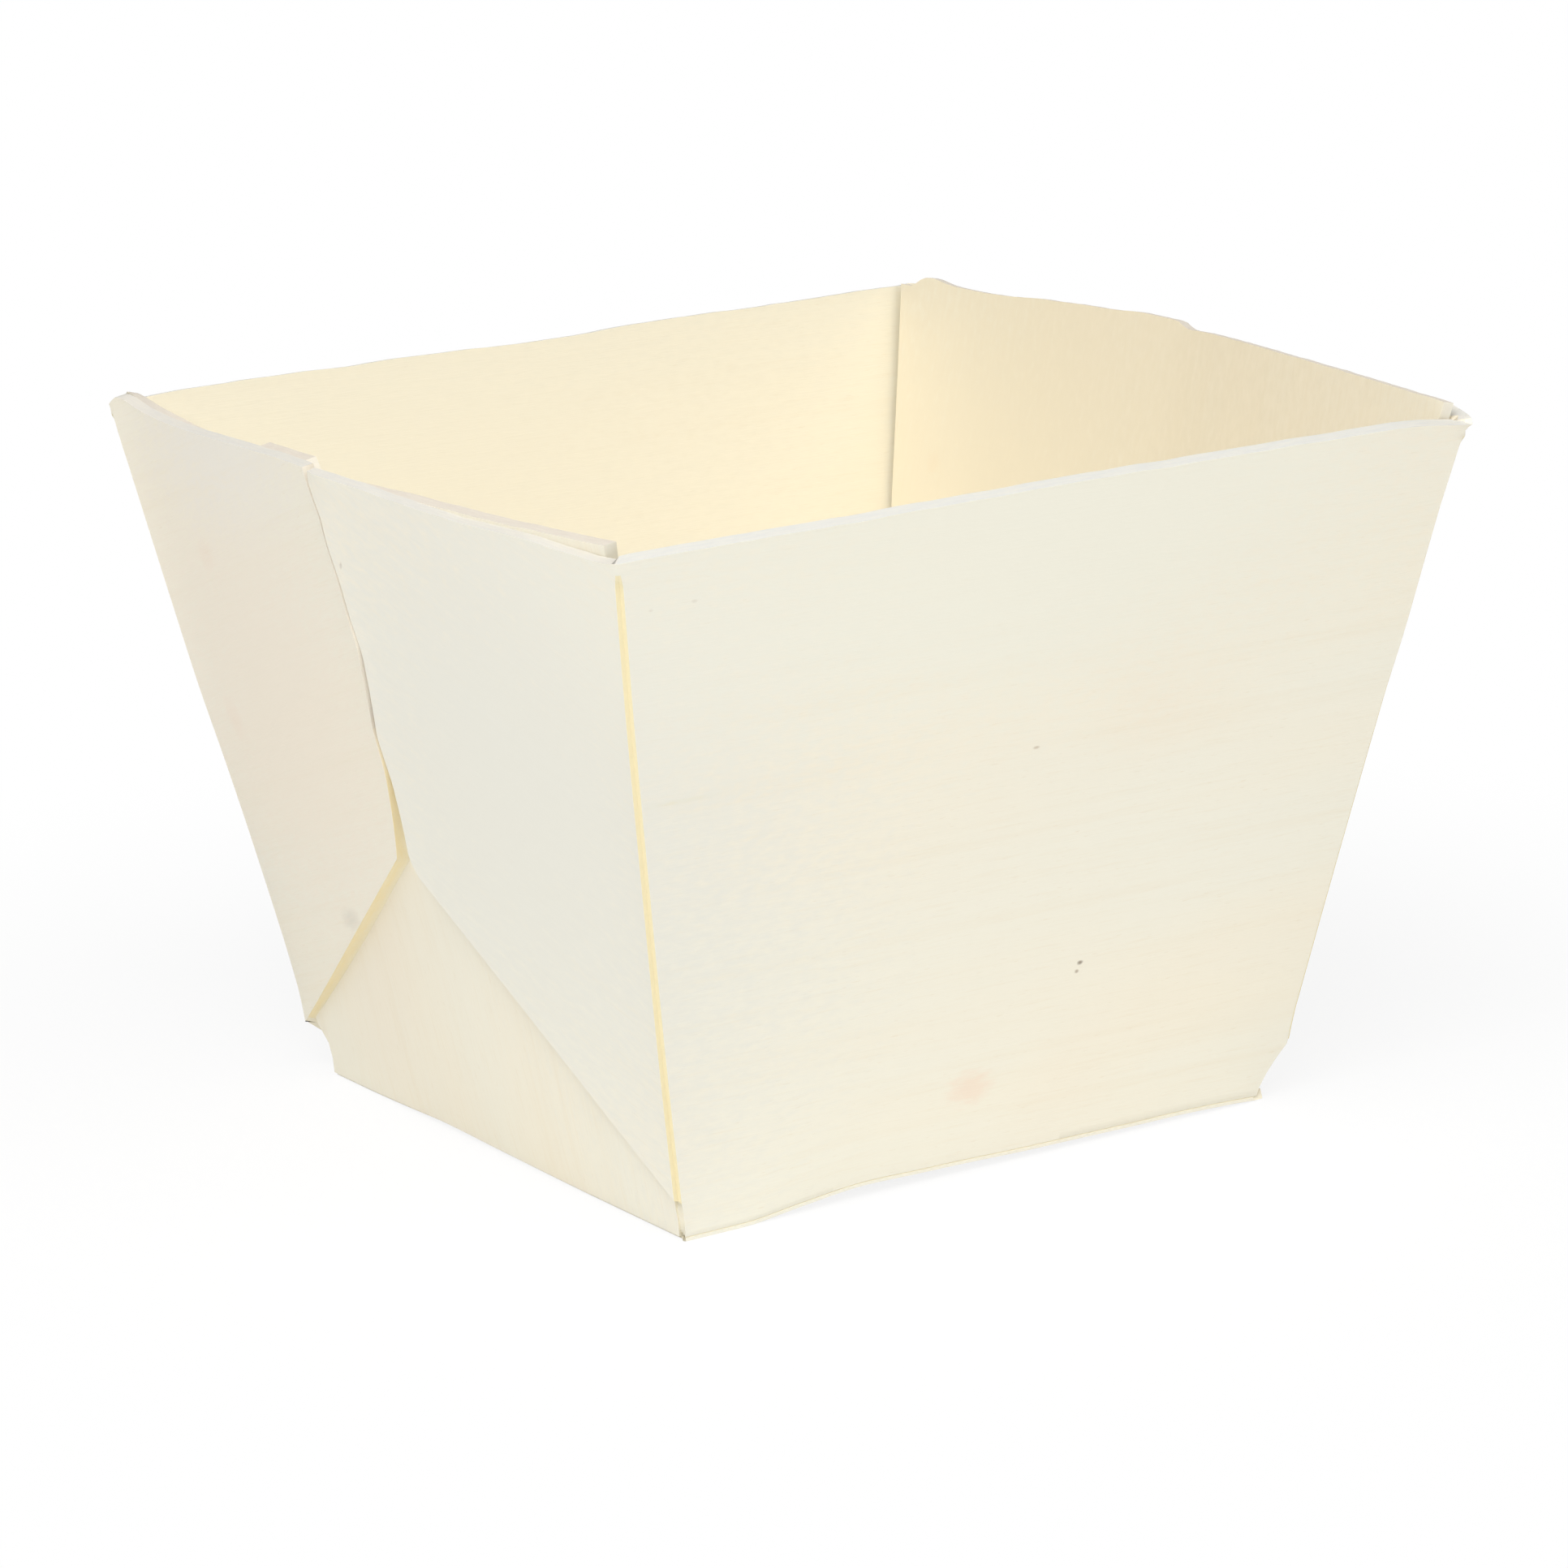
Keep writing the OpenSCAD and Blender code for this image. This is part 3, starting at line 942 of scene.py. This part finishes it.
def wood_colour(t, blank, fibres, pores):
    """Cream poplar with broad bands, fine fibres and short flecks along the grain."""
    colour = t.mix(t.ramp(t.noise(blank, *BROAD), 0.3, 0.7), PALE, CREAM)
    for field, low, high, share, tone in (
        (t.noise(blank, *TINT), 0.48, 0.72, 0.4, BLUSH),
        (t.noise(blank, *BANDS), 0.45, 0.85, 0.22, LATEWOOD),
        (fibres, 0.5, 0.85, 0.28, LATEWOOD),
        (pores, 0.66, 0.8, 0.3, FLECK),
    ):
        colour = t.mix(t.ramp(field, low, high, 0.0, share), colour, tone)
    return colour


def with_marks(t, blank, colour):
    """Specks, resin stains, small knots, and broad tones of whole faces that are partly painted light and
    shade.
    """
    ragged = t.math("MULTIPLY_ADD", t.noise(blank, *RAGGED), RAGGEDNESS, -RAGGEDNESS / 2)
    for (x, y), side, (along, across), mark_colour, share in MARKS:
        away = t.vector("SUBTRACT", blank, (x, y, side))
        reach = t.vector("LENGTH", t.vector("MULTIPLY", away, (1 / along, 1 / across, MARK_DEPTH_RATE)))
        colour = t.mix(t.ramp(t.math("ADD", reach, ragged), MARK_CORE, 1.0, share, 0.0), colour, mark_colour)
    return colour


def with_cuts(t, blank, depth, colour):
    """Cut edges, which are fresh wood or a worn grey rim, and scores. The yellow of the fresh wood and of the
    scores is partly painted warm shade.
    """
    cut, rim, end_grain, scored = (t.attribute(look) for look in LOOKS)
    sawn = t.mix(rim, CUT_WOOD_AND_SHADE, t.mix(end_grain, RIM_WOOD, RIM_END_GRAIN))
    fading = t.math("MAXIMUM", rim, t.ramp(depth, *CUT_RAMP))
    layers = t.ramp(t.noise(blank, *LAYERS), *LAYER_RAMP)
    share = t.math("MULTIPLY", t.math("MULTIPLY", cut, fading), layers)
    colour = t.mix(share, colour, sawn)
    return t.mix(t.math("MULTIPLY", scored, SCORE_SHARE), colour, SCORE_WOOD_AND_SHADE)


def veneer():
    material = bpy.data.materials.new("poplar_veneer")
    t = Tree(material)
    blank = t.attribute("blank", "Vector")
    depth = t.node("SeparateXYZ", Vector=blank).outputs["Z"]
    fibres = t.noise(blank, *FIBRES)
    pores = t.noise(blank, *PORES)
    colour = with_marks(t, blank, wood_colour(t, blank, fibres, pores))
    colour = t.mix(t.ramp(depth, *INNER_RAMP), colour, INNER_TINT, "MULTIPLY")
    colour = with_cuts(t, blank, depth, colour)
    height = t.math("ADD", t.math("MULTIPLY", fibres, FIBRE_BUMP), t.math("MULTIPLY", pores, PORE_BUMP))
    bump = t.node("Bump", Strength=BUMP_STRENGTH, Distance=BUMP_DEPTH * MM, Height=height)
    shader = t.node(
        "BsdfPrincipled", Base_Color=colour, Roughness=t.ramp(fibres, *ROUGHNESS_RAMP),
        Specular_IOR_Level=GLOSS, Normal=bump.outputs["Normal"],
    )
    t.node("OutputMaterial", Surface=shader.outputs[0])
    return material


def shown_directly(t):
    """1 for rays from the camera and for those that gloss or glass sends on."""
    path = t.node("LightPath").outputs
    total = t.math("ADD", path["Is Camera Ray"], path["Is Glossy Ray"])
    return t.math("ADD", total, path["Is Transmission Ray"], clamp=True)


# The floor, in metres. Around the tray it shows its own shade and shadow, and further out it turns to white.
FLOOR_COLOUR = (0.90, 0.90, 0.90, 1.0)
FLOOR_HALF = 3.0
FLOOR_SHADE_END = 0.05
FLOOR_WHITE_START = 0.14
FLOOR_GLOW = 0.85


def floor():
    mesh = bpy.data.meshes.new("floor")
    corners = [(FLOOR_HALF * x, FLOOR_HALF * y, 0) for x, y in (NEAR, RIGHT, FAR, LEFT)]
    mesh.from_pydata(corners, [], [(0, 1, 2, 3)])
    material = bpy.data.materials.new("floor_white")
    t = Tree(material)
    away = t.vector("LENGTH", t.node("TexCoord").outputs["Object"])
    glow = t.ramp(away, FLOOR_SHADE_END, FLOOR_WHITE_START, FLOOR_GLOW, 1.0)
    paper = t.node("BsdfDiffuse", Color=FLOOR_COLOUR).outputs[0]
    white = t.node("Emission", Color=WHITE, Strength=1.0).outputs[0]
    mixed = t.mix_shader(t.math("MULTIPLY", glow, shown_directly(t)), paper, white)
    t.node("OutputMaterial", Surface=mixed)
    mesh.materials.append(material)
    placed("floor", mesh)


SKY_LEVEL = 0.28
SKY_COLOUR = (0.97, 1.0, 1.04, 1.0)


def world():
    made = bpy.data.worlds.new("studio")
    bpy.context.scene.world = made
    t = Tree(made)
    soft = t.node("Background", Color=SKY_COLOUR, Strength=SKY_LEVEL).outputs[0]
    white = t.node("Background", Color=WHITE, Strength=1.0).outputs[0]
    t.node("OutputWorld", Surface=t.mix_shader(shown_directly(t), soft, white))


# Lamps: azimuth and elevation as seen from the tray, distance and width in metres, power and colour
LAMPS = (
    ("key", -58.0, 47.0, 0.9, 0.7, 6.6, (1.0, 0.995, 0.985)),
    ("fill", 10.0, 45.0, 0.9, 0.7, 2.65, (1.0, 1.0, 1.0)),
)


def direction(azimuth, elevation):
    a, e = radians(azimuth), radians(elevation)
    return Vector((sin(a) * cos(e), -cos(a) * cos(e), sin(e)))


def lamps():
    target = Vector((0, 0, WALL_H / 2 * MM))
    for name, azimuth, elevation, distance, width, power, colour in LAMPS:
        data = bpy.data.lights.new(name, "AREA")
        data.size = width
        data.energy = power
        data.color = colour
        way = direction(azimuth, elevation)
        turn = way.to_track_quat("Z", "Y").to_matrix().to_4x4()
        placed(name, data).matrix_world = Matrix.Translation(target + way * distance) @ turn


# Camera fitted to the photograph: focal length in pixels of the square image, angles in degrees
IMAGE_SIZE = 1932
FOCAL_PX = 7318.3
CAMERA_AZIMUTH = -34.604
CAMERA_ELEVATION = 15.132
CAMERA_ROLL = -0.965
CAMERA_DISTANCE = 550.96
CAMERA_ASIDE = -0.583
CAMERA_ABOVE = 27.73
SENSOR = 36.0
CLIP_START = 10.0


def camera():
    data = bpy.data.cameras.new("camera")
    data.sensor_width = SENSOR
    data.lens = FOCAL_PX / IMAGE_SIZE * SENSOR
    data.clip_start = CLIP_START * MM
    back = direction(CAMERA_AZIMUTH, CAMERA_ELEVATION)
    level = Vector((0, 0, 1)).cross(back).normalized()
    right = Matrix.Rotation(radians(CAMERA_ROLL), 3, back) @ level
    up = back.cross(right)
    place = right * CAMERA_ASIDE + up * CAMERA_ABOVE + back * CAMERA_DISTANCE
    made = placed("camera", data)
    made.matrix_world = Matrix.Translation(place * MM) @ Matrix((right, up, back)).transposed().to_4x4()
    bpy.context.scene.camera = made


# Vector noise starts from the clock unless it has a seed
seed_set(WARP_SEED)
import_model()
bpy.context.scene.view_settings.view_transform = "Standard"
camera()
world()
lamps()
floor()
tray_piece(veneer())
bpy.context.view_layer.update()
